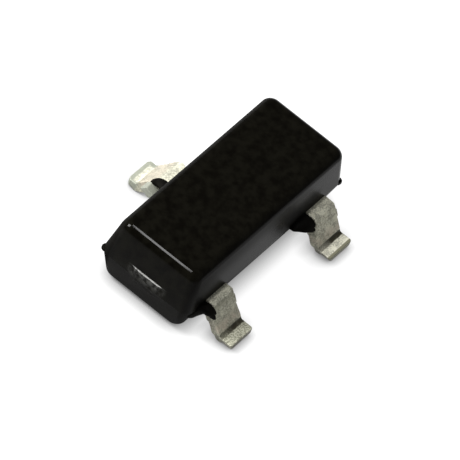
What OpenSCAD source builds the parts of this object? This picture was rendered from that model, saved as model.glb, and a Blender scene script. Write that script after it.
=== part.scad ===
// Small-outline three-lead transistor: a moulded body on a stamped lead frame, with the chip and its
// bond wires inside. Millimetres, +Z up from the board, origin on the board under the body's centre,
// +X along the body, one lead towards +Y and two towards -Y.

/* [Moulded body] */
// Length of the body at its parting line
body_length = 3.01; // [2.8:0.01:3.3]
// Width of the body at its parting line
body_width = 1.27; // [1.15:0.01:1.5]
// Height of the top face above the board
body_top = 0.95; // [0.88:0.01:1.2]
// Gap between the board and the underside
stand_off = 0.02; // [0:0.005:0.1]
// How far the top face is set in on each side by the mould's draft
top_draft = 0.08; // [0.02:0.005:0.14]
// How far the underside is set in on each side by the mould's draft
bottom_draft = 0.1; // [0.02:0.005:0.14]
// Radius of the upright corners
corner_radius = 0.125; // [0.125:0.005:0.18]
// Rounding of the top and bottom edges
edge_radius = 0.12; // [0.04:0.005:0.12]
// Height of the upright band that the mould leaves at the parting line
parting_band = 0.012; // [0.004:0.002:0.03]

/* [Mould marks] */
// Width of the broken gate stub on the near end
gate_width = 0.6; // [0.3:0.01:0.9]
// Height of the gate stub above the parting line
gate_rise = 0.1; // [0.04:0.01:0.2]
// Depth of the gate stub below the parting line
gate_drop = 0.12; // [0.04:0.01:0.2]
// How far the gate stub stands out past the parting line
gate_reach = 0.01; // [0.005:0.005:0.06]
// Width of the vent flash across a corner
vent_width = 0.05; // [0.03:0.005:0.09]
// Thickness of the vent flash
vent_thickness = 0.05; // [0.02:0.005:0.08]
// How far the flash beside each lead reaches out from the body
web_reach = 0.2; // [0.08:0.01:0.24]
// Width of the flash at the body beside the base lead
base_web = 0.26; // [0.08:0.01:0.32]
// Width of the flash at the body beside the emitter lead
emitter_web = 0.3; // [0.08:0.01:0.4]
// Width of the flash at the body beside the collector lead
collector_web = 0.12; // [0.08:0.01:0.4]
// Width of the flash at its outer end
web_tip = 0.05; // [0.04:0.005:0.1]

/* [Leads] */
// Distance between the two leads on one side
lead_pitch = 1.9; // [1.7:0.01:2.1]
// Width of a lead
lead_width = 0.38; // [0.3:0.01:0.5]
// Thickness of the lead frame's sheet
lead_thickness = 0.12; // [0.08:0.01:0.16]
// Height of the lead's underside where it leaves the body
lead_exit = 0.325; // [0.26:0.005:0.42]
// Height of the parting line above the lead's underside
parting_rise = 0.1; // [0.05:0.01:0.15]
// Straight length of a lead outside the body before it bends down
shoulder = 0.055; // [0.01:0.005:0.2]
// Angle by which a lead bends down
lead_lean = 58; // [45:1:75]
// Inside radius of both bends
bend_radius = 0.03; // [0.02:0.005:0.05]
// Length of the flat foot
foot_length = 0.15; // [0.08:0.005:0.4]
// How far the cut stub of the dam bar stands out on each side of a lead
dam_stub = 0.03; // [0.01:0.005:0.06]
// Length of that stub along the lead
dam_length = 0.1; // [0.05:0.01:0.12]

/* [Inner lead ends] */
// Length of the die pad along the body
pad_length = 0.9; // [0.6:0.01:1]
// Width of the die pad across the body
pad_width = 0.6; // [0.4:0.01:0.7]
// Resin between the die pad and the body's side at the collector lead
pad_cover = 0.22; // [0.15:0.01:0.3]
// Length of a bonding post inside the body
post_length = 0.66; // [0.5:0.01:0.8]
// How far a bonding post's tab reaches beyond the lead, towards the die pad
tab_reach = 0.13; // [0.05:0.01:0.16]
// Width of the tab
tab_width = 0.3; // [0.2:0.01:0.4]

/* [Chip and bonds] */
// Side of the square chip
die_side = 0.36; // [0.2:0.01:0.39]
// Thickness of the chip
die_thickness = 0.14; // [0.08:0.01:0.2]
// Margin of the bond layer around the chip
attach_margin = 0.02; // [0.005:0.005:0.04]
// Thickness of the bond layer under the chip
attach_thickness = 0.015; // [0.005:0.005:0.03]
// Diameter of a bond wire
wire_diameter = 0.025; // [0.018:0.001:0.03]
// Diameter of the ball bond on the chip
ball_diameter = 0.075; // [0.06:0.005:0.1]
// Height of the ball bond
ball_height = 0.025; // [0.02:0.005:0.04]
// Diameter of the flattened stitch on the bonding post
stitch_diameter = 0.08; // [0.06:0.005:0.12]
// Height of the stitch
stitch_height = 0.02; // [0.015:0.005:0.03]
// Distance of the stitch from the inner end of the post's tab
stitch_inset = 0.15; // [0.06:0.01:0.3]
// Angle above level at which a wire leaves the chip
wire_launch = 50; // [30:1:60]
// Distance of each ball bond from the chip's centre line
ball_offset = 0.09; // [0.05:0.01:0.1]

/* [Hidden] */

// Colours of the pieces
mould_black = [0.03, 0.03, 0.032];
tin_grey = [0.66, 0.66, 0.6];
silicon_grey = [0.35, 0.36, 0.42];
attach_silver = [0.7, 0.7, 0.68];
gold_yellow = [0.95, 0.75, 0.3];

// Smoothness of the hulled shell and of the round bonds
shell_fn = 32;
round_fn = 48;
// Overlap that carries a mould mark into the body it belongs to
root_depth = 0.1;

parting_z = lead_exit + parting_rise;
frame_top = lead_exit + lead_thickness;
side = body_width / 2;
end = body_length / 2;

// Lead run: bend down, straight slope, bend level, foot
bend_drop = 1 - cos(lead_lean);
slope_length = (lead_exit - (2 * bend_radius + lead_thickness) * bend_drop) / sin(lead_lean);
base_x = -lead_pitch / 2;
emitter_x = lead_pitch / 2;
collector_x = 0;

// Inner ends: the pad hangs on the collector lead, the posts on the other two
pad_outer_y = side - pad_cover;
pad_y = pad_outer_y - pad_width / 2;
post_y = -side + post_length;
tab_x = lead_pitch / 2 - lead_width / 2 - tab_reach;
tab_y = post_y - tab_width / 2;

attach_top = frame_top + attach_thickness;
die_top = attach_top + die_thickness;
attach_side = die_side + 2 * attach_margin;
stitch_x = tab_x + stitch_inset;

// One half of the moulded shell: hulled from the parting line to a face that is set in by the draft
// and rounded at its edge. up is 1 for the upper half and -1 for the lower half.
module shell_half(face_z, draft, up) {
    height = abs(face_z - parting_z);
    lean = atan(draft / height);
    inset = draft * (height - edge_radius) / height + edge_radius / cos(lean) - edge_radius;
    hull() {
        for (sx = [-1, 1], sy = [-1, 1]) {
            translate([sx * (end - corner_radius), sy * (side - corner_radius), parting_z])
                cylinder(r = corner_radius, h = parting_band, center = true, $fn = shell_fn);
            translate([sx * (end - inset - corner_radius), sy * (side - inset - corner_radius),
                       face_z - up * edge_radius])
                rotate_extrude($fn = shell_fn)
                    intersection() {
                        translate([corner_radius - edge_radius, 0])
                            circle(r = edge_radius, $fn = shell_fn);
                        translate([0, -edge_radius])
                            square([corner_radius, 2 * edge_radius]);
                    }
        }
    }
}

// Stub where the resin runner was broken off the near end
module gate_stub() {
    translate([-end - gate_reach, -gate_width / 2, parting_z - gate_drop])
        cube([gate_reach + root_depth, gate_width, gate_drop + gate_rise]);
}

// Thin flash of a mould vent, across one rounded corner
module vent_flash(sx, sy) {
    corner_gap = corner_radius * (sqrt(2) - 1);
    rotate_to = atan2(sy, sx);
    translate([sx * (end - corner_radius), sy * (side - corner_radius), parting_z - vent_thickness / 2])
        rotate([0, 0, rotate_to])
            translate([0, -vent_width / 2, 0])
                cube([corner_radius + corner_gap / 2, vent_width, vent_thickness]);
}

// Sheet bent as a lead, from inside the body out to the tip of its foot, leading towards -Y.
// inward is the length that it keeps inside the body.
module lead_sheet(width, inward) {
    start = side + shoulder;
    outer_radius = bend_radius + lead_thickness;
    translate([-width / 2, -start, lead_exit])
        cube([width, shoulder + inward, lead_thickness]);
    translate([0, -start, lead_exit - bend_radius]) {
        bend(width, -lead_lean);
        rotate([lead_lean, 0, 0]) {
            translate([0, 0, bend_radius])
                linear_extrude(height = lead_thickness)
                    slope_blank(width);
            translate([0, -slope_length, bend_radius + outer_radius]) {
                bend(width, 180);
                rotate([-lead_lean, 0, 0])
                    translate([-width / 2, -foot_length, -outer_radius])
                        cube([width, foot_length, lead_thickness]);
            }
        }
    }
}

// Outline of the straight slope, with the cut stubs of the dam bar at its upper end
module slope_blank(width) {
    translate([-width / 2, -slope_length])
        square([width, slope_length]);
    translate([-width / 2 - dam_stub, -dam_length])
        square([width + 2 * dam_stub, dam_length]);
}

// A bend of the sheet about the X axis, through the lead's lean. from is the angle from the upright at
// which it starts.
module bend(width, from) {
    translate([width / 2, 0, 0])
        rotate([0, -90, 0])
            rotate([0, 0, from])
                rotate_extrude(angle = lead_lean, $fn = round_fn)
                    translate([bend_radius, 0])
                        square([lead_thickness, width]);
}

// Flash that the dam bar left along the -X edge of the lead at x, following the lead's own bends.
// It starts on the flat of the body's side, clear of the rounded corner.
module lead_web(x, wanted_width) {
    edge_x = x - lead_width / 2;
    width = min(wanted_width, end - corner_radius + edge_x);
    intersection() {
        translate([edge_x, 0, 0])
            lead_sheet(2 * width, root_depth);
        linear_extrude(height = 2 * frame_top)
            polygon([[edge_x, -side + root_depth], [edge_x - width, -side + root_depth],
                     [edge_x - width, -side], [edge_x - width / 2, -side - web_reach / 2],
                     [edge_x - web_tip, -side - web_reach], [edge_x, -side - web_reach]]);
    }
}

// Bonding post: a lead that runs into the body, with a tab towards the die pad. toward is the tab's side.
module post_lead(x, toward) {
    translate([x, 0, 0])
        lead_sheet(lead_width, post_length);
    tab_start = x + toward * lead_width / 2;
    translate([min(tab_start, tab_start + toward * tab_reach), post_y - tab_width, lead_exit])
        cube([tab_reach, tab_width, lead_thickness]);
}

// Bond wire: ball on the chip, one arc over to the post, and a flattened stitch there
module bond_wire(toward) {
    sink = wire_diameter / 2 * cos(wire_launch);
    from = [toward * ball_offset, pad_y, die_top + ball_height - sink];
    to = [toward * stitch_x, tab_y, frame_top + stitch_height / 2];
    run = norm([to[0] - from[0], to[1] - from[1]]);
    chord = norm(to - from);
    chord_lean = atan2(to[2] - from[2], run);
    half_sweep = wire_launch - chord_lean;
    arc_radius = chord / (2 * sin(half_sweep));
    heading = atan2(to[1] - from[1], to[0] - from[0]);
    difference() {
        union() {
            translate([from[0], from[1], die_top])
                cylinder(d = ball_diameter, h = ball_height, $fn = round_fn);
            translate([to[0], to[1], frame_top])
                cylinder(d = stitch_diameter, h = stitch_height, $fn = round_fn);
            translate(from)
                rotate([0, 0, heading])
                    translate([arc_radius * sin(wire_launch), 0, -arc_radius * cos(wire_launch)])
                        rotate([90, 0, 0])
                            rotate([0, 0, 90 + wire_launch - 2 * half_sweep])
                                rotate_extrude(angle = 2 * half_sweep, $fn = round_fn)
                                    translate([arc_radius, 0])
                                        circle(d = wire_diameter, $fn = round_fn);
        }
        translate([to[0] - stitch_diameter, to[1] - stitch_diameter, frame_top - stitch_diameter])
            cube([2 * stitch_diameter, 2 * stitch_diameter, stitch_diameter]);
    }
}

module mould_body() {
    color(mould_black)
        difference() {
            union() {
                shell_half(body_top, top_draft, 1);
                shell_half(stand_off, bottom_draft, -1);
                gate_stub();
                vent_flash(-1, 1);
                vent_flash(1, -1);
                lead_web(base_x, base_web);
                lead_web(emitter_x, emitter_web);
                mirror([0, 1, 0])
                    lead_web(collector_x, collector_web);
            }
            base_lead();
            emitter_lead();
            collector_lead();
            die_attach();
            silicon_die();
            base_bond_wire();
            emitter_bond_wire();
        }
}

module base_lead() {
    color(tin_grey)
        post_lead(base_x, 1);
}

module emitter_lead() {
    color(tin_grey)
        post_lead(emitter_x, -1);
}

module collector_lead() {
    color(tin_grey)
        union() {
            translate([collector_x, 0, 0])
                mirror([0, 1, 0])
                    lead_sheet(lead_width, pad_cover);
            translate([collector_x - pad_length / 2, pad_outer_y - pad_width, lead_exit])
                cube([pad_length, pad_width, lead_thickness]);
        }
}

module die_attach() {
    color(attach_silver)
        translate([collector_x - attach_side / 2, pad_y - attach_side / 2, frame_top])
            cube([attach_side, attach_side, attach_thickness]);
}

module silicon_die() {
    color(silicon_grey)
        translate([collector_x - die_side / 2, pad_y - die_side / 2, attach_top])
            cube([die_side, die_side, die_thickness]);
}

module base_bond_wire() {
    color(gold_yellow)
        bond_wire(-1);
}

module emitter_bond_wire() {
    color(gold_yellow)
        bond_wire(1);
}

mould_body();
base_lead();
emitter_lead();
collector_lead();
silicon_die();
die_attach();
base_bond_wire();
emitter_bond_wire();
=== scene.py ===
# Three-lead surface-mount transistor: tinned leads, a chip with its bond wires, and a black moulded body.
import math

import bmesh
import bpy
from mathutils import Matrix, Vector


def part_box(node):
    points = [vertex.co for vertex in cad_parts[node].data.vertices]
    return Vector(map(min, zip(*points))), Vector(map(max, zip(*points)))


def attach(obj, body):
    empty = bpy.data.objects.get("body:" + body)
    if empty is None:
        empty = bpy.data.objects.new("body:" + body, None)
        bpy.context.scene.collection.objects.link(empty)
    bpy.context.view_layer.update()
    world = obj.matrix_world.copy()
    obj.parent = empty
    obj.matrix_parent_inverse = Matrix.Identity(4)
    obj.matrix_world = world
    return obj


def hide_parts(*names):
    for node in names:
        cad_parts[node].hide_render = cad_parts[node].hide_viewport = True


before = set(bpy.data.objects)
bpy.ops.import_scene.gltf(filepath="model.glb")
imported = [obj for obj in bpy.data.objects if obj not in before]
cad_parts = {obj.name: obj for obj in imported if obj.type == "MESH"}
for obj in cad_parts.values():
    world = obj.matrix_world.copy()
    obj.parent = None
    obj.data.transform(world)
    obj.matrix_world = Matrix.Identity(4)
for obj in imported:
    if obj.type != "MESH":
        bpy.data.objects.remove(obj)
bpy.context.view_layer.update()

# Tinned leads
# Three strips of one stamped copper-alloy frame, tinned all over and bent down to the board as gull
# wings. Their inner ends, two bonding posts and a chip pad, are moulded into the body.

# Pieces are modelled in millimetres, where Blender's merge and bevel limits suit a part this small,
# and are shrunk to metres when their form is done.
MM_PER_M = 1000.0
base_low, base_high = (corner * MM_PER_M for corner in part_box("base_lead"))
pad_low, pad_high = (corner * MM_PER_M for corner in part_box("collector_lead"))
strip_width = 0.38
strip_thickness = 0.12
strip_top = base_high.z
strip_under = strip_top - strip_thickness
lean_degrees = 58
lead_lean = math.radians(lean_degrees)
inside_bend = 0.03
outside_bend = inside_bend + strip_thickness
foot_length = 0.15
bend_start = 0.69
dam_stub = 0.03
dam_length = 0.1
lead_x = base_low.x + dam_stub + strip_width / 2
tab_width = 0.3
pad_width = 0.6
lead_slope = (strip_under - (inside_bend + outside_bend) * (1 - math.cos(lead_lean))) / math.sin(lead_lean)
foot_start = -base_low.y - foot_length

# What stamping, bending, cutting and plating leave: softened edges, rolled undersides of the feet, squared
# bends, stubs of the dam bar, one of them long, and dents in the tin
stamped_edge = 0.013
die_roll = 0.045
shoulder_squareness = 0.8
heel_squareness = 0.9
worn_stub = 0.014
long_stub = 0.15
rubbing_rounds = 2
dent_depth = 0.005
dent_size = 0.06
# Points of a lead that lie closer than this are made one
same_point = 0.0004
# Places closer than this count as the same
touching = 0.001
# How far inside the body a lead's edges start to be rounded
hidden_edge_y = -0.6


def pick(kind, wanted):
    """Select the points, edges or faces of the piece in edit mode that pass a test."""
    modes = {"verts": "VERT", "edges": "EDGE", "faces": "FACE"}
    bpy.ops.mesh.select_mode(type=modes[kind])
    bpy.ops.mesh.select_all(action="DESELECT")
    mesh = bpy.context.edit_object.data
    form = bmesh.from_edit_mesh(mesh)
    for element in getattr(form, kind):
        if wanted(element):
            element.select_set(True)
    form.select_flush_mode()
    bmesh.update_edit_mesh(mesh)


def extrude(step, times=1):
    """Pull the selected face out along a step, in so many equal lengths."""
    for _ in range(times):
        bpy.ops.mesh.extrude_region_move(TRANSFORM_OT_translate={"value": Vector(step) / times})


def slice_across(axis, places):
    """Cut extra loops through the whole piece, square to an axis, at the given places."""
    for place in places:
        bpy.ops.mesh.select_all(action="SELECT")
        bpy.ops.mesh.bisect(plane_co=Vector(axis) * place, plane_no=axis)


def apply_modifier(piece, kind, **settings):
    """Add a modifier to a piece and apply it."""
    modifier = piece.modifiers.new(kind.title(), kind)
    for name, value in settings.items():
        setattr(modifier, name, value)
    bpy.ops.object.select_all(action="DESELECT")
    piece.select_set(True)
    bpy.context.view_layer.objects.active = piece
    bpy.ops.object.modifier_apply(modifier=modifier.name)


def new_block(size, centre):
    """Start a piece from a cube of this size, in edit mode."""
    bpy.ops.object.select_all(action="DESELECT")
    bpy.ops.mesh.primitive_cube_add(size=1, location=centre)
    piece = bpy.context.object
    piece.scale = size
    bpy.ops.object.transform_apply(location=True, rotation=True, scale=True)
    bpy.ops.object.mode_set(mode="EDIT")
    return piece


def dent(piece, size, depth):
    """Sink a fine, uneven relief into a piece, never proud of its form."""
    relief = bpy.data.textures.new("relief", "CLOUDS")
    relief.noise_scale = size
    relief.noise_depth = 2
    apply_modifier(piece, "DISPLACE", texture=relief, texture_coords="LOCAL",
                   strength=depth, mid_level=1.0)


def square_up(strip, centre_y, centre_z, side, share):
    """Push the outside of a bend part of the way out to the corner of its flats, as the bending die does."""
    form = bmesh.from_edit_mesh(strip.data)
    for point in form.verts:
        out_y, out_z = point.co.y - centre_y, point.co.z - centre_z
        angle = math.atan2(-side * out_y, side * out_z)
        if abs(math.hypot(out_y, out_z) - outside_bend) < touching and 0.01 < angle < lead_lean - 0.01:
            swell = 1 + share * (1 / math.cos(min(angle, lead_lean - angle)) - 1)
            point.co.y = centre_y + out_y * swell
            point.co.z = centre_z + out_z * swell
    bmesh.update_edit_mesh(strip.data)


def bent_strip(inner_end, inner_run, side_steps, heel, stubs):
    """Sheet strip that leads towards -Y: straight inside the body, two bends, and a flat foot. Over its
    inner run the listed sides are pulled out, as the tab of a post or the wings of the chip pad. The heel is
    the share by which the bend at the foot is squared. The stubs of the dam bar are given for +X and -X."""
    root = (0, inner_end - inner_run / 2, strip_under + strip_thickness / 2)
    strip = new_block((strip_width, inner_run, strip_thickness), root)
    pick("faces", lambda face: face.normal.y < -0.9)
    extrude((0, hidden_edge_y - (inner_end - inner_run), 0))
    extrude((0, -bend_start - hidden_edge_y, 0), 2)
    bpy.ops.mesh.spin(steps=6, angle=lead_lean, axis=(-1, 0, 0),
                      center=(0, -bend_start, strip_under - inside_bend))
    down_slope = Vector((0, -math.cos(lead_lean), -math.sin(lead_lean)))
    slope_start = Vector((0, -bend_start, strip_under - inside_bend))
    middle_bend = inside_bend + strip_thickness / 2
    slope_start += Vector((0, -math.sin(lead_lean), math.cos(lead_lean))) * middle_bend
    extrude(down_slope * dam_length, 3)
    extrude(down_slope * (lead_slope - dam_length), 5)
    bpy.ops.mesh.spin(steps=8, angle=lead_lean, axis=(1, 0, 0),
                      center=(0, -foot_start, outside_bend))
    extrude((0, -foot_length, 0), 4)
    square_up(strip, -bend_start, strip_under - inside_bend, 1, shoulder_squareness)
    square_up(strip, -foot_start, outside_bend, -1, heel)
    for side, reach in side_steps:
        pick("faces", lambda face: face.normal.x * side > 0.9
             and face.calc_center_median().y > inner_end - inner_run)
        extrude((side * reach, 0, 0))
    for side, stub in zip((1, -1), stubs):
        pick("faces", lambda face: face.normal.x * side > 0.9
             and 0 < down_slope.dot(face.calc_center_median() - slope_start) < dam_length
             and face.calc_center_median().y < -bend_start)
        extrude((side * stub, 0, 0))

    def around_underside(edge):
        """Whether an edge goes round the underside of the foot."""
        on_board = all(point.co.z < touching for point in edge.verts)
        on_foot = all(point.co.y < -foot_start + touching for point in edge.verts)
        return on_board and on_foot and edge.calc_face_angle() > 1

    pick("edges", around_underside)
    bpy.ops.mesh.bevel(offset=die_roll, segments=4, affect="EDGES")
    bpy.ops.mesh.select_mode(type="EDGE")
    bpy.ops.mesh.select_all(action="DESELECT")
    bpy.ops.mesh.edges_select_sharp(sharpness=math.radians(50))
    form = bmesh.from_edit_mesh(strip.data)
    for edge in form.edges:
        if max(point.co.y for point in edge.verts) > hidden_edge_y + touching:
            edge.select_set(False)
    form.select_flush_mode()
    bmesh.update_edit_mesh(strip.data)
    bpy.ops.mesh.bevel(offset=stamped_edge, segments=3, affect="EDGES")
    slice_across((1, 0, 0), [strip_width * share for share in (-0.33, -0.2, -0.07, 0.07, 0.2, 0.33)])
    bpy.ops.mesh.select_all(action="SELECT")
    bpy.ops.mesh.remove_doubles(threshold=same_point)
    bpy.ops.mesh.normals_make_consistent(inside=False)
    bpy.ops.object.mode_set(mode="OBJECT")
    apply_modifier(strip, "SUBSURF", subdivision_type="SIMPLE", levels=2, render_levels=2)
    outside = strip.vertex_groups.new(name="outside")
    outside.add([point.index for point in strip.data.vertices if point.co.y < hidden_edge_y], 1.0, "REPLACE")
    apply_modifier(strip, "SMOOTH", factor=0.5, iterations=rubbing_rounds, vertex_group=outside.name)
    strip.vertex_groups.clear()
    dent(strip, dent_size, dent_depth)
    for point in strip.data.vertices:
        point.co.z = max(point.co.z, 0)
    return strip


def eased(value, low, high):
    """0 below a range, 1 above it, and a smooth step between."""
    share = min(max((value - low) / (high - low), 0), 1)
    return share * share * (3 - 2 * share)


def set_lead(lead, toe_round, side, slope_spread, end_spread=0, lean_in=0, heel_out=0):
    """Small faults of one lead: the corners of its toe worn round, its slope, or its foot and shoulder,
    spread to one side, its upper bend set closer to the body, and its heel set further out, which shortens
    its flat."""
    for point in lead.data.vertices:
        x, y, z = point.co
        over_x = abs(x) - strip_width / 2 + toe_round
        over_y = -y - foot_start - foot_length + toe_round
        if over_x > 0 and over_y > 0:
            inward = 1 - max(over_x, over_y) / math.hypot(over_x, over_y)
            point.co.x -= math.copysign(over_x * inward, x)
            point.co.y += over_y * inward
        beside = eased(side * x, 0, strip_width / 2) * eased(-y, bend_start, bend_start + 0.05)
        on_slope = eased(z, 0.12, 0.18) * (1 - eased(z, 0.3, 0.4)) if end_spread else 1 - eased(z, 0.3, 0.38)
        spread = slope_spread * on_slope + end_spread * (1 - on_slope)
        point.co.x += side * spread * beside * eased(z, 0.02, 0.12)
        point.co.y += lean_in * eased(z, 0.14, 0.32) * eased(-y, 0.65, 0.71)
        before_toe = 1 - eased(-y, foot_start, foot_start + foot_length)
        point.co.y -= heel_out * eased(-y, 0.72, foot_start - 0.04) * before_toe


def place(piece, centre=(0, 0, 0), half_turn=False, mirrored=False, smooth_to=40):
    """Turn, mirror and move a finished form to its place on the part, and shrink it to metres."""
    bpy.ops.object.select_all(action="DESELECT")
    piece.select_set(True)
    bpy.context.view_layer.objects.active = piece
    turn = Matrix.Rotation(math.pi if half_turn else 0, 4, "Z")
    flip = Matrix.Scale(-1 if mirrored else 1, 4, (1, 0, 0))
    shrink = Matrix.Scale(1 / MM_PER_M, 4)
    piece.matrix_world = shrink @ Matrix.Translation(centre) @ turn @ flip
    bpy.ops.object.transform_apply(location=True, rotation=True, scale=True)
    bpy.ops.object.mode_set(mode="EDIT")
    bpy.ops.mesh.select_all(action="SELECT")
    bpy.ops.mesh.normals_make_consistent(inside=False)
    bpy.ops.mesh.select_mode(type="EDGE")
    bpy.ops.mesh.select_all(action="DESELECT")
    bpy.ops.mesh.edges_select_sharp(sharpness=math.radians(smooth_to))
    bpy.ops.mesh.mark_sharp()
    bpy.ops.object.mode_set(mode="OBJECT")
    bpy.ops.object.shade_smooth(keep_sharp_edges=True)


def add_node(tree, kind, inputs, **settings):
    """Add a shader node and fill its inputs, given by name or in order, with links or constants."""
    node = tree.nodes.new(kind)
    for name, value in settings.items():
        setattr(node, name, value)
    pairs = inputs.items() if isinstance(inputs, dict) else enumerate(inputs)
    for key, value in pairs:
        if isinstance(value, bpy.types.NodeSocket):
            tree.links.new(value, node.inputs[key])
        elif value is not None:
            node.inputs[key].default_value = value
    return node


def math_node(tree, operation, *values):
    """The result of a math node."""
    return add_node(tree, "ShaderNodeMath", values, operation=operation).outputs[0]


def product(tree, *values):
    """The product of values."""
    result = values[0]
    for value in values[1:]:
        result = math_node(tree, "MULTIPLY", result, value)
    return result


def ramp(tree, value, low, high, to_low=0.0, to_high=1.0):
    """A value eased from one range to another."""
    inputs = {"Value": value, "From Min": low, "From Max": high, "To Min": to_low, "To Max": to_high}
    return add_node(tree, "ShaderNodeMapRange", inputs, interpolation_type="SMOOTHSTEP").outputs[0]


def blend_colours(tree, mask, first, second):
    """Two colours, given as links or constants, mixed by a mask."""
    return add_node(tree, "ShaderNodeMix", {0: mask, 6: first, 7: second}, data_type="RGBA").outputs[2]


def millimetres(tree):
    """The surface's own coordinates in millimetres."""
    place_on_piece = add_node(tree, "ShaderNodeTexCoord", [])
    return add_node(tree, "ShaderNodeVectorMath", {0: place_on_piece.outputs["Object"], "Scale": MM_PER_M},
                    operation="SCALE").outputs[0]


def surface_axes(tree):
    """The three parts of the surface's own coordinates, in millimetres."""
    split = add_node(tree, "ShaderNodeSeparateXYZ", [millimetres(tree)])
    return [split.outputs[axis] for axis in "XYZ"]


def colour(red, green, blue):
    """A linear colour with full opacity."""
    return (red, green, blue, 1.0)


def mottle_group():
    """Broad patches and a fine grain over a surface, each of a given size in millimetres."""
    tree = bpy.data.node_groups.new("mottle", "ShaderNodeTree")
    for name, start in (("Patch size", 0.1), ("Grain size", 0.02)):
        tree.interface.new_socket(name, in_out="INPUT", socket_type="NodeSocketFloat").default_value = start
    for name in ("Patches", "Grain"):
        tree.interface.new_socket(name, in_out="OUTPUT", socket_type="NodeSocketFloat")
    sizes = tree.nodes.new("NodeGroupInput")
    results = tree.nodes.new("NodeGroupOutput")
    surface = millimetres(tree)
    for name in ("Patch", "Grain"):
        fineness = math_node(tree, "DIVIDE", 1.0, sizes.outputs[name + " size"])
        noise = add_node(tree, "ShaderNodeTexNoise", {"Vector": surface, "Scale": fineness, "Detail": 3.0})
        result = results.inputs["Patches" if name == "Patch" else "Grain"]
        tree.links.new(noise.outputs["Fac"], result)
    return tree


mottle = mottle_group()


def mottled(tree, patch_size, grain_size):
    """Place the mottle group in a material with its own sizes."""
    group = tree.nodes.new("ShaderNodeGroup")
    group.node_tree = mottle
    group.inputs["Patch size"].default_value = patch_size
    group.inputs["Grain size"].default_value = grain_size
    return group.outputs["Patches"], group.outputs["Grain"]


def new_material(name):
    """A material with a Principled shader, and the shader itself."""
    material = bpy.data.materials.new(name)
    material.use_nodes = True
    return material, material.node_tree, material.node_tree.nodes["Principled BSDF"]


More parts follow.
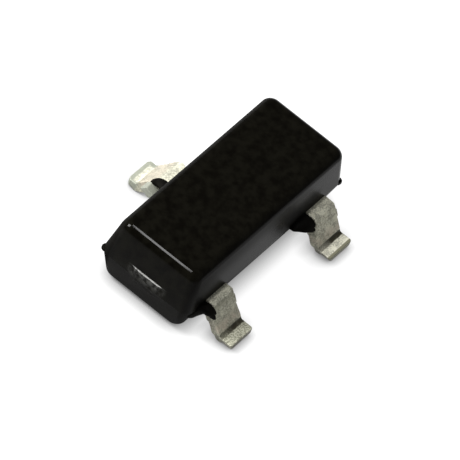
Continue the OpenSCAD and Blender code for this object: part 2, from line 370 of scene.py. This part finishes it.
def tinned_finish():
    """Matt tin: bright and dull crystals, painted light on the flats of the shoulders and feet, dark residue
    with painted crease shade in the bend at the foot, painted shade under the first lead's shoulder and on
    the long stub, a darker rim on the single lead's foot, and browner cut ends."""
    material, tree, shader = new_material("tinned_lead")
    patches, grain = mottled(tree, 0.09, 0.02)
    along, across, upward = surface_axes(tree)
    outward = math_node(tree, "ABSOLUTE", across)
    tip = foot_start + foot_length
    half_width = strip_width / 2
    speckle = math_node(tree, "ADD", product(tree, patches, 0.5), product(tree, grain, 0.5))
    crystals = ramp(tree, speckle, 0.39, 0.61)
    tin = blend_colours(tree, crystals, colour(0.245, 0.24, 0.187), colour(0.53, 0.52, 0.405))
    # Painted light: a brighter copy of the tin for the flats that catch the light
    painted_lit_tin = blend_colours(tree, crystals, colour(0.4, 0.395, 0.325), colour(0.82, 0.8, 0.66))
    hammered = blend_colours(tree, ramp(tree, grain, 0.4, 0.6), colour(0.14, 0.14, 0.098),
                             colour(0.46, 0.46, 0.36))
    on_pair = ramp(tree, across, 0.01, -0.01)
    on_single = ramp(tree, across, -0.01, 0.01)
    on_first = ramp(tree, along, -0.4, -0.7)

    # The slopes of the pair, with painted shade under the first lead's shoulder, and warmer near the feet
    painted_shade_under_bend = product(tree, ramp(tree, upward, 0.465, 0.445), ramp(tree, upward, 0.3, 0.4), on_first, 0.6)
    tin = blend_colours(tree, painted_shade_under_bend, tin, colour(0.16, 0.16, 0.11))
    warm = product(tree, ramp(tree, upward, 0.13, 0.18), ramp(tree, upward, 0.28, 0.2),
                   ramp(tree, patches, 0.4, 0.6, 0.1, 0.55), on_pair)
    tin = blend_colours(tree, warm, tin, colour(0.42, 0.35, 0.28))

    # The shoulders and feet, hammered on the first lead, with painted light brightening their flats: on every
    # shoulder, and on the feet faintly on the first lead, strongly on the second and fully on the single lead
    shoulder = ramp(tree, upward, strip_top - 0.03, strip_top - 0.015)
    tin = blend_colours(tree, product(tree, shoulder, on_first, 0.7), tin, hammered)
    tin = blend_colours(tree, product(tree, shoulder, 0.45), tin, painted_lit_tin)
    past_slope = math_node(tree, "SUBTRACT", outward, product(tree, on_single, 0.05))
    on_foot = ramp(tree, past_slope, foot_start - 0.05, foot_start - 0.02)
    flat = ramp(tree, upward, strip_thickness - 0.03, strip_thickness - 0.015)
    tin = blend_colours(tree, product(tree, on_foot, flat, on_first, 0.7), tin, hammered)
    painted_light_share = math_node(tree, "MAXIMUM", ramp(tree, along, -1.1, 0.9, 0.0, 0.75), on_single)
    tin = blend_colours(tree, product(tree, on_foot, flat, painted_light_share), tin, painted_lit_tin)

    # The single lead's warm slope, painted shade on its long stub, and its foot darker round the rim
    slope = product(tree, on_single, ramp(tree, upward, 0.13, 0.18), ramp(tree, upward, 0.42, 0.36),
                    ramp(tree, patches, 0.35, 0.6, 0.3, 0.6))
    tin = blend_colours(tree, slope, tin, colour(0.45, 0.39, 0.31))
    # Painted shade: the long stub in a darker grey-green
    stub = product(tree, on_single, ramp(tree, along, -half_width - 0.01, -half_width - 0.03))
    tin = blend_colours(tree, stub, tin, colour(0.27, 0.28, 0.23))
    from_middle = math_node(tree, "ABSOLUTE", along)
    rim = math_node(tree, "MAXIMUM", ramp(tree, outward, tip - 0.065, tip - 0.045),
                    ramp(tree, from_middle, half_width - 0.04, half_width - 0.02))
    rim = product(tree, rim, on_foot, on_single, 0.9)
    tin = blend_colours(tree, rim, tin, colour(0.25, 0.265, 0.215))

    # The cut ends of the pair, darker on the first lead
    toe = math_node(tree, "ADD", outward, ramp(tree, along, -0.5, 0.5, 0.004, 0.036))
    on_cut = product(tree, ramp(tree, toe, tip - 0.004, tip + 0.004), on_pair)
    cut_tin = blend_colours(tree, ramp(tree, along, -0.5, 0.5), colour(0.1, 0.09, 0.06),
                            colour(0.19, 0.185, 0.125))
    tin = blend_colours(tree, on_cut, tin, cut_tin)

    # Residue of the plating bath in the bend at the foot, together with painted shade of the crease,
    # strongest on the pair
    from_bend = math_node(tree, "SQRT", math_node(
        tree, "ADD", math_node(tree, "POWER", math_node(tree, "SUBTRACT", outward, foot_start), 2.0),
        math_node(tree, "POWER", math_node(tree, "SUBTRACT", upward, outside_bend), 2.0)))
    from_edge = math_node(tree, "ADD", along, product(tree, math_node(tree, "SIGN", along), lead_x))
    stain_and_shade_strength = product(tree, ramp(tree, from_edge, -0.17, 0.0, 0.6, 1.0),
                    ramp(tree, patches, 0.3, 0.5, 0.8, 1.0), ramp(tree, across, 0.01, -0.01, 0.25, 1.0))
    residue_and_crease_shade = product(tree, ramp(tree, from_bend, 0.041, 0.034), stain_and_shade_strength)
    tin = blend_colours(tree, residue_and_crease_shade, tin, colour(0.022, 0.019, 0.007))

    tree.links.new(tin, shader.inputs["Base Color"])
    shader.inputs["Metallic"].default_value = 0.3
    tree.links.new(ramp(tree, grain, 0.3, 0.7, 0.62, 0.4), shader.inputs["Roughness"])
    bump = add_node(tree, "ShaderNodeBump", {"Strength": 0.5, "Distance": 4e-6, "Height": grain})
    tree.links.new(bump.outputs["Normal"], shader.inputs["Normal"])
    return material


tinned_lead = tinned_finish()


def dress(piece, name, slot, material, *nodes):
    """Name a finished piece, give it its material, and tie it to the part."""
    piece.name = name
    piece.data.name = name
    piece.data.materials.clear()
    piece.data.materials.append(material)
    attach(piece, "root")
    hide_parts(*nodes)


tab_reach = base_high.x - lead_x - strip_width / 2
base_post = bent_strip(base_high.y, tab_width, [(1, tab_reach)], heel_squareness, (worn_stub, worn_stub))
emitter_post = base_post.copy()
emitter_post.data = base_post.data.copy()
bpy.context.scene.collection.objects.link(emitter_post)
pad_wing = pad_high.x - strip_width / 2
chip_pad = bent_strip(-pad_low.y, pad_width, [(1, pad_wing), (-1, pad_wing)], 0, (long_stub, worn_stub))
set_lead(base_post, 0.03, -1, 0.04, lean_in=0.035)
set_lead(emitter_post, 0.03, 1, 0.05)
set_lead(chip_pad, 0.055, -1, 0.008, end_spread=0.033, heel_out=0.06)
place(base_post, (lead_x, 0, 0))
place(emitter_post, (-lead_x, 0, 0), mirrored=True)
place(chip_pad, half_turn=True)
dress(base_post, "base_lead_tinned", "tinned_lead", tinned_lead, "base_lead")
dress(emitter_post, "emitter_lead_tinned", "tinned_lead", tinned_lead, "emitter_lead")
dress(chip_pad, "collector_lead_tinned", "tinned_lead", tinned_lead, "collector_lead")

# Chip and bonds
# A square of polished silicon, held on the chip pad by a thin layer of silver-filled glue, and two gold
# wires that are welded to it as balls and to the posts as flat stitches. All four lie inside the resin.


def inner_finish(name, dark, bright, metallic, roughness, patch_size, grain_size):
    """Material of a piece inside the body, its colour and gloss varied by patches and grain."""
    material, tree, shader = new_material(name)
    patches, grain = mottled(tree, patch_size, grain_size)
    shade = blend_colours(tree, ramp(tree, patches, 0.3, 0.7), dark, bright)
    tree.links.new(shade, shader.inputs["Base Color"])
    tree.links.new(ramp(tree, grain, 0.3, 0.7, roughness, roughness + 0.15), shader.inputs["Roughness"])
    shader.inputs["Metallic"].default_value = metallic
    return material


silicon = inner_finish("silicon", colour(0.07, 0.075, 0.1), colour(0.13, 0.14, 0.19), metallic=0.6,
                       roughness=0.12, patch_size=0.15, grain_size=0.03)
attach_silver = inner_finish("attach_silver", colour(0.42, 0.42, 0.4), colour(0.66, 0.66, 0.63), metallic=0.7,
                             roughness=0.4, patch_size=0.03, grain_size=0.01)
bond_gold = inner_finish("bond_gold", colour(0.75, 0.5, 0.17), colour(0.92, 0.68, 0.28), metallic=1.0,
                         roughness=0.2, patch_size=0.05, grain_size=0.01)
for node_name, material in (("silicon_die", silicon), ("die_attach", attach_silver),
                            ("base_bond_wire", bond_gold), ("emitter_bond_wire", bond_gold)):
    inner_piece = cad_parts[node_name]
    inner_piece.data.materials.clear()
    inner_piece.data.materials.append(material)

# Moulded body
# One block of black silica-filled epoxy, moulded round the leads in two halves. The mould leaves its
# draft, the parting line, a broken gate at one end, vent nubs at two corners, and flash beside the leads.
body_low, body_high = (corner * MM_PER_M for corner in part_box("mould_body"))
body_length = 3.01
body_width = 1.27
body_top = body_high.z
body_under = body_low.z
body_end = body_length / 2
body_side = body_width / 2
parting_z = 0.425
parting_band = 0.012
top_draft = 0.08
under_draft = 0.1
corner_radius = 0.125
edge_radius = 0.12
gate_width = 0.6
gate_rise = 0.13
gate_drop = 0.12

body = new_block((body_length, body_width, body_top - body_under), (0, 0, (body_top + body_under) / 2))
slice_across((0, 0, 1), (parting_z - parting_band / 2, parting_z + parting_band / 2))
faces_and_drafts = ((body_top, top_draft), (body_under, under_draft))
for face_z, draft in faces_and_drafts:
    pick("faces", lambda face: abs(face.calc_center_median().z - face_z) < touching)
    bpy.ops.transform.resize(value=(1 - 2 * draft / body_length, 1 - 2 * draft / body_width, 1),
                             center_override=(0, 0, face_z))
pick("edges", lambda edge: abs(edge.verts[0].co.z - edge.verts[1].co.z) > touching)
bpy.ops.mesh.bevel(offset=corner_radius, segments=10, affect="EDGES")
for face_z, draft in faces_and_drafts:
    turn = math.pi / 2 - math.atan(draft / abs(face_z - parting_z))
    pick("edges", lambda edge: all(abs(point.co.z - face_z) < touching for point in edge.verts))
    bpy.ops.mesh.bevel(offset=edge_radius * math.tan(turn / 2), segments=10, affect="EDGES")
bpy.ops.object.mode_set(mode="OBJECT")


def join(target, part, operation="UNION"):
    """Fuse a part to a target, or cut it out of it, and drop the part."""
    apply_modifier(target, "BOOLEAN", operation=operation, object=part, solver="MANIFOLD")
    bpy.data.meshes.remove(part.data)


# The gate stub, rounded where the runner met it, sunk towards its ends and foot, and rough where it broke
gate_face = body_low.x
gate_depth = 0.16
gate_top = parting_z + gate_rise
gate_corner = 0.075
gate_edge = 0.03
gate_middle = -0.02
end_sinking = 0.035
foot_sinking = 0.02
break_size = 0.05
break_depth = 0.02
column_step = 0.03
row_step = 0.022
gate = new_block((gate_depth, gate_width, gate_rise + gate_drop),
                 (gate_face + gate_depth / 2, 0, parting_z + (gate_rise - gate_drop) / 2))
pick("edges", lambda edge: abs(edge.verts[0].co.x - edge.verts[1].co.x) > touching)
bpy.ops.mesh.bevel(offset=gate_corner, segments=6, affect="EDGES")
pick("edges", lambda edge: all(abs(point.co.x - gate_face) < touching for point in edge.verts)
     and min(point.co.z for point in edge.verts) < gate_top - 0.01)
bpy.ops.mesh.bevel(offset=gate_edge, segments=3, affect="EDGES")
slice_across((0, 1, 0), [column_step * step for step in range(-9, 10)])
slice_across((0, 0, 1), [parting_z - gate_drop + row_step * step for step in range(1, 10)])
bpy.ops.object.mode_set(mode="OBJECT")
apply_modifier(gate, "SUBSURF", subdivision_type="SIMPLE", levels=1, render_levels=1)
for point in gate.data.vertices:
    sunk = end_sinking * eased(abs(point.co.y - gate_middle), 0.12, 0.3)
    sunk += foot_sinking * eased(parting_z - point.co.z, 0, gate_drop)
    point.co.x += sunk * eased(-point.co.x, -gate_face - 0.06, -gate_face - 0.03)
dent(gate, break_size, break_depth)
join(body, gate)

# The vent nubs, small tapered spurs on two corners of the parting line
nub_reach = corner_radius * (1 + (math.sqrt(2) - 1) / 2)
nub_root = 0.09
nub_tip = 0.035
nub_thickness = 0.05
nub_thinning = 0.7
nub_edge = 0.008
for end, side, turned in ((-1, 1, 120), (1, -1, -60)):
    nub = new_block((corner_radius, nub_root, nub_thickness), (corner_radius / 2, 0, 0))
    pick("faces", lambda face: face.normal.x > 0.9)
    extrude((nub_reach - corner_radius, 0, 0))
    bpy.ops.transform.resize(value=(1, nub_tip / nub_root, nub_thinning), center_override=(nub_reach, 0, 0))
    bpy.ops.mesh.select_all(action="SELECT")
    bpy.ops.mesh.bevel(offset=nub_edge, segments=2, affect="EDGES")
    bpy.ops.object.mode_set(mode="OBJECT")
    corner = (end * (body_end - corner_radius), side * (body_side - corner_radius), parting_z)
    nub.matrix_world = Matrix.Translation(corner) @ Matrix.Rotation(math.radians(turned), 4, "Z")
    bpy.ops.object.transform_apply(location=True, rotation=True, scale=True)
    join(body, nub)


def lead_flash(edge_x, depth, thinning, proud, straight, bent, sloped):
    """Flash along a lead's -X edge, from inside the body outwards: widths at places on the level run, at
    angles of the bend and at lengths down the slope. It thins by a share of its depth towards its end, and
    stands proud of the lead's top."""
    overlap = 0.06
    root_length = 0.01
    first_y, width = straight[0]
    root = (edge_x + (overlap - width) / 2, -first_y + root_length / 2, strip_top + proud - depth / 2)
    flash = new_block((width + overlap, root_length, depth), root)
    pick("faces", lambda face: face.normal.y < -0.9)
    hinge = Vector((0, -bend_start, strip_under - inside_bend))
    lean = 0.0
    thickness = depth
    top = Vector((edge_x + overlap, -first_y, strip_top + proud))
    stations = [(reach, None, wanted) for reach, wanted in straight[1:]]
    stations += [(None, math.radians(angle), wanted) for angle, wanted in bent]
    stations += [(reach, lead_lean, wanted) for reach, wanted in sloped]
    slid = 0.0
    for number, (reach, angle, wanted) in enumerate(stations):
        if angle is None:
            extrude((0, -reach - top.y, 0))
            top.y = -reach
        elif reach is None:
            extrude((0, 0, 0))
            bpy.ops.transform.rotate(value=lean - angle, orient_axis="X", center_override=hinge)
            lean = angle
            top.y = hinge.y - (outside_bend + proud) * math.sin(lean)
            top.z = hinge.z + (outside_bend + proud) * math.cos(lean)
        else:
            step = Vector((0, -math.cos(lead_lean), -math.sin(lead_lean))) * (reach - slid)
            extrude(step)
            slid = reach
            top += step
        thinner = depth * (1 - thinning * (number + 1) / len(stations))
        bpy.ops.transform.resize(value=((wanted + overlap) / (width + overlap), thinner / thickness,
                                        thinner / thickness), center_override=top)
        width = wanted
        thickness = thinner
    bpy.ops.object.mode_set(mode="OBJECT")
    apply_modifier(flash, "SUBSURF", levels=2, render_levels=2)
    return flash


lead_edge = -strip_width / 2
flash_start = 0.56
base_flash = lead_flash(
    lead_x + lead_edge, depth=0.19, thinning=0.65, proud=0,
    straight=[(flash_start, 0.3), (0.64, 0.3), (0.66, 0.2), (bend_start, 0.14)],
    bent=[(15, 0.12), (30, 0.12), (42, 0.115), (lean_degrees, 0.09)], sloped=[(0.04, 0.07), (0.085, 0.03)])
emitter_flash = lead_flash(
    -lead_x + lead_edge, depth=0.11, thinning=0.3, proud=0,
    straight=[(flash_start, 0.31), (0.635, 0.31), (0.665, 0.31), (bend_start, 0.31)],
    bent=[(15, 0.28), (30, 0.25), (42, 0.22), (lean_degrees, 0.18)], sloped=[(0.03, 0.12), (0.07, 0.04)])
collector_flash = lead_flash(
    lead_edge, depth=0.12, thinning=0.75, proud=0.03,
    straight=[(flash_start, 0.13), (0.64, 0.13), (bend_start, 0.11)],
    bent=[(15, 0.09), (30, 0.08), (42, 0.07), (lean_degrees, 0.06)], sloped=[(0.04, 0.045), (0.08, 0.02)])
collector_flash.scale.y = -1
bpy.ops.object.transform_apply(location=True, rotation=True, scale=True)
bpy.ops.object.mode_set(mode="EDIT")
bpy.ops.mesh.select_all(action="SELECT")
bpy.ops.mesh.normals_make_consistent(inside=False)
bpy.ops.object.mode_set(mode="OBJECT")

# Limits for the cuts: points stored twice, slivers, and edges and faces that count as straight and flat
doubled_point = 0.000002
sliver = 0.0003
straightness = 0.0006
flatness = math.radians(0.3)


def core_of(piece):
    """A copy of a piece in millimetres, to cut its hollow with."""
    core = bpy.data.objects.new("core", piece.data.copy())
    bpy.context.scene.collection.objects.link(core)
    core.data.transform(Matrix.Scale(MM_PER_M, 4))
    bpy.ops.object.select_all(action="DESELECT")
    core.select_set(True)
    bpy.context.view_layer.objects.active = core
    bpy.ops.object.mode_set(mode="EDIT")
    bpy.ops.mesh.select_all(action="SELECT")
    bpy.ops.mesh.remove_doubles(threshold=doubled_point)
    bpy.ops.mesh.normals_make_consistent(inside=False)
    bpy.ops.object.mode_set(mode="OBJECT")
    return core


for flash, lead in ((base_flash, base_post), (emitter_flash, emitter_post), (collector_flash, chip_pad)):
    join(flash, core_of(lead), "DIFFERENCE")
    join(body, flash)

# The pockets that the leads, the chip and its bonds fill
for node_name in ("base_lead", "emitter_lead", "collector_lead", "die_attach", "silicon_die",
                  "base_bond_wire", "emitter_bond_wire"):
    join(body, core_of(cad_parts[node_name]), "DIFFERENCE")


def on_straight_edge(point):
    """Whether a point only divides an edge that is straight without it."""
    if len(point.link_edges) != 2:
        return False
    first, second = (edge.other_vert(point).co for edge in point.link_edges)
    span = second - first
    return span.length > 0 and span.cross(point.co - first).length / span.length < straightness


bpy.ops.object.mode_set(mode="EDIT")
bpy.ops.mesh.select_all(action="SELECT")
bpy.ops.mesh.dissolve_limited(angle_limit=flatness)
bpy.ops.mesh.remove_doubles(threshold=sliver)
bpy.ops.mesh.dissolve_degenerate(threshold=sliver)
pick("verts", on_straight_edge)
bpy.ops.mesh.dissolve_verts()
bpy.ops.object.mode_set(mode="OBJECT")


def resin_finish():
    """Black moulding resin: fine-grained, glossy on top, duller down its sides, pale where the gate broke,
    and with a painted highlight along the gate's lip."""
    material, tree, shader = new_material("mould_resin")
    patches, grain = mottled(tree, 0.12, 0.01)
    along, across, upward = surface_axes(tree)
    resin = blend_colours(tree, ramp(tree, patches, 0.3, 0.7), colour(0.0011, 0.0009, 0.0005),
                          colour(0.0031, 0.0028, 0.0018))

    # The gate's broken face, scarred in patches under a painted highlight along its lip
    from_middle = math_node(tree, "ABSOLUTE", math_node(tree, "SUBTRACT", across, gate_middle))
    on_gate = product(tree, ramp(tree, along, -body_end + 0.02, -body_end + 0.01),
                      ramp(tree, from_middle, 0.29, 0.17))
    scar_patches, scar_grain = mottled(tree, 0.07, 0.03)
    scar = product(tree, on_gate, ramp(tree, scar_patches, 0.36, 0.62), ramp(tree, upward, 0.37, 0.54))
    resin = blend_colours(tree, scar, resin, colour(0.06, 0.06, 0.055))
    from_lip = math_node(tree, "ABSOLUTE", math_node(tree, "SUBTRACT", upward, gate_top))
    # Painted highlight: a pale band along the gate's top edge
    painted_lip_highlight = product(tree, on_gate, ramp(tree, from_lip, 0.022, 0.006),
                  ramp(tree, scar_grain, 0.3, 0.5, 0.5, 1.0))
    resin = blend_colours(tree, painted_lip_highlight, resin, colour(0.25, 0.25, 0.24))
    tree.links.new(resin, shader.inputs["Base Color"])

    # The side of the pair, duller towards the top, the gate end and the second lead's flash
    side_roughness = 0.26
    flash_middle = 0.68
    from_flash = math_node(tree, "ABSOLUTE", math_node(tree, "SUBTRACT", along, flash_middle))
    by_flash = product(tree, ramp(tree, from_flash, 0.5, 0.15, 0.0, 0.4), ramp(tree, upward, 0.75, 0.58))
    dull = math_node(tree, "ADD", ramp(tree, upward, 0.55, 0.84, 0.0, 0.18),
                     ramp(tree, along, -1.6, 1.4, 0.13, -0.17))
    dull = math_node(tree, "ADD", dull, by_flash)
    dull = product(tree, dull, ramp(tree, across, -0.5, -0.54))
    roughness = math_node(tree, "ADD", dull, side_roughness)

    # Smoother on top and on its rubbed round edge, rougher on the single lead's side and below the parting
    top_roughness = 0.12
    on_top = ramp(tree, upward, body_top - 0.09, body_top - 0.03)
    roughness = add_node(tree, "ShaderNodeMix", {0: on_top, 2: roughness, 3: top_roughness}).outputs[0]
    roughness = math_node(tree, "ADD", roughness, ramp(tree, across, 0.48, 0.53, 0.0, 0.45))
    below = ramp(tree, upward, parting_z + 0.01, parting_z - 0.01, 0.0, 0.3)
    roughness = math_node(tree, "ADD", roughness, below)
    rubbed = product(tree, ramp(tree, upward, body_top - 0.06, body_top - 0.03),
                     ramp(tree, upward, body_top - 0.0012, body_top - 0.003))
    roughness = math_node(tree, "SUBTRACT", roughness, product(tree, rubbed, 0.06))
    tree.links.new(roughness, shader.inputs["Roughness"])
    shader.inputs["Specular IOR Level"].default_value = 0.05
    relief = product(tree, grain, math_node(tree, "SUBTRACT", 1.0, rubbed))
    bump = add_node(tree, "ShaderNodeBump", {"Strength": 0.15, "Distance": 1.5e-6, "Height": relief})
    tree.links.new(bump.outputs["Normal"], shader.inputs["Normal"])
    return material


mould_resin = resin_finish()
place(body, smooth_to=20)
apply_modifier(body, "WEIGHTED_NORMAL", keep_sharp=True)
dress(body, "mould_body_resin", "mould_resin", mould_resin, "mould_body")

# Floor, light and camera
# A plain white sheet under soft studio light, seen through a long lens from above the gate end.
floor_size = 0.4
bpy.ops.object.select_all(action="DESELECT")
bpy.ops.mesh.primitive_plane_add(size=floor_size)
floor = bpy.context.object
floor.name = "floor"


def seen_directly(tree):
    """1 for rays from the camera and for those in a mirror or through glass."""
    path = add_node(tree, "ShaderNodeLightPath", [])
    seen = math_node(tree, "ADD", path.outputs["Is Camera Ray"], path.outputs["Is Glossy Ray"])
    seen = math_node(tree, "ADD", seen, path.outputs["Is Transmission Ray"])
    return math_node(tree, "MINIMUM", seen, 1.0)


paper = bpy.data.materials.new("floor_paper")
paper.use_nodes = True
paper_tree = paper.node_tree
paper_tree.nodes.clear()
sheet_shade = colour(0.15, 0.15, 0.15)
sheet_glow = 0.95
shadow_reach = 0.00022
shadow_depth = 1.1
sheet = add_node(paper_tree, "ShaderNodeBsdfDiffuse", {"Color": sheet_shade})
openness = add_node(paper_tree, "ShaderNodeAmbientOcclusion", {"Distance": shadow_reach}, samples=16)
contact_shadow = math_node(paper_tree, "POWER", openness.outputs["AO"], shadow_depth)
glow_level = product(paper_tree, contact_shadow, sheet_glow, seen_directly(paper_tree))
glow = add_node(paper_tree, "ShaderNodeEmission", {"Color": colour(1, 1, 1), "Strength": glow_level})
both = add_node(paper_tree, "ShaderNodeAddShader", [sheet.outputs[0], glow.outputs[0]])
add_node(paper_tree, "ShaderNodeOutputMaterial", {"Surface": both.outputs[0]})
floor.data.materials.append(paper)

sky_level = 0.28
world = bpy.data.worlds.new("studio")
bpy.context.scene.world = world
world.use_nodes = True
sky = world.node_tree.nodes["Background"]
sky.inputs["Color"].default_value = colour(1, 1, 1)
sky.inputs["Strength"].default_value = sky_level


def add_lamp(name, direction, distance, width, depth, level):
    """A flat lamp that looks at the part, its width along X. Its level is the light it gives on a white
    sheet facing it."""
    lamp = bpy.data.lights.new(name, "AREA")
    lamp.shape = "RECTANGLE"
    lamp.size = width
    lamp.size_y = depth
    lamp.energy = level * (math.pi * distance) ** 2
    holder = bpy.data.objects.new(name, lamp)
    bpy.context.scene.collection.objects.link(holder)
    toward = Vector(direction).normalized()
    holder.location = toward * distance
    across = Vector((0, 1, 0)).cross(toward).normalized()
    holder.rotation_euler = Matrix((across, toward.cross(across), toward)).transposed().to_euler()


add_lamp("overhead_lamp", (-0.08, 0.227, 0.97), 0.12, 0.044, 0.0078, 0.38)
add_lamp("far_lamp", (-0.38, 0.55, 0.74), 0.04, 0.014, 0.014, 2.2)

# Viewing angle of the photograph: turn about the upright, height and roll in degrees, and where the
# point above the part's centre falls in a picture of 460 by 460
picture_size = 460
azimuth = math.radians(-70.369)
height = math.radians(48.457)
roll = math.radians(23.357)
pixels_per_mm = 89.26
aim_point = Vector((0, 0, 0.0005))
aim_column = 223.869
aim_row = 209.39
camera_distance = 0.1

back = Vector((math.sin(azimuth) * math.cos(height), -math.cos(azimuth) * math.cos(height), math.sin(height)))
level_right = Vector((math.cos(azimuth), math.sin(azimuth), 0))
level_up = back.cross(level_right)
right = math.cos(roll) * level_right + math.sin(roll) * level_up
up = back.cross(right)
middle = (picture_size - 1) / 2
pixels_per_m = pixels_per_mm * MM_PER_M
slide = right * (middle - aim_column) / pixels_per_m + up * (aim_row - middle) / pixels_per_m
camera_data = bpy.data.cameras.new("camera")
camera_data.sensor_width = 36
camera_data.lens = pixels_per_m * camera_distance * camera_data.sensor_width / picture_size
camera_data.clip_start = 0.001
camera_data.clip_end = 1.0
camera = bpy.data.objects.new("camera", camera_data)
bpy.context.scene.collection.objects.link(camera)
camera.matrix_world = Matrix.Translation(aim_point + slide + back * camera_distance) @ Matrix(
    (right, up, back)).transposed().to_4x4()
bpy.context.scene.camera = camera
bpy.context.scene.view_settings.view_transform = "Standard"
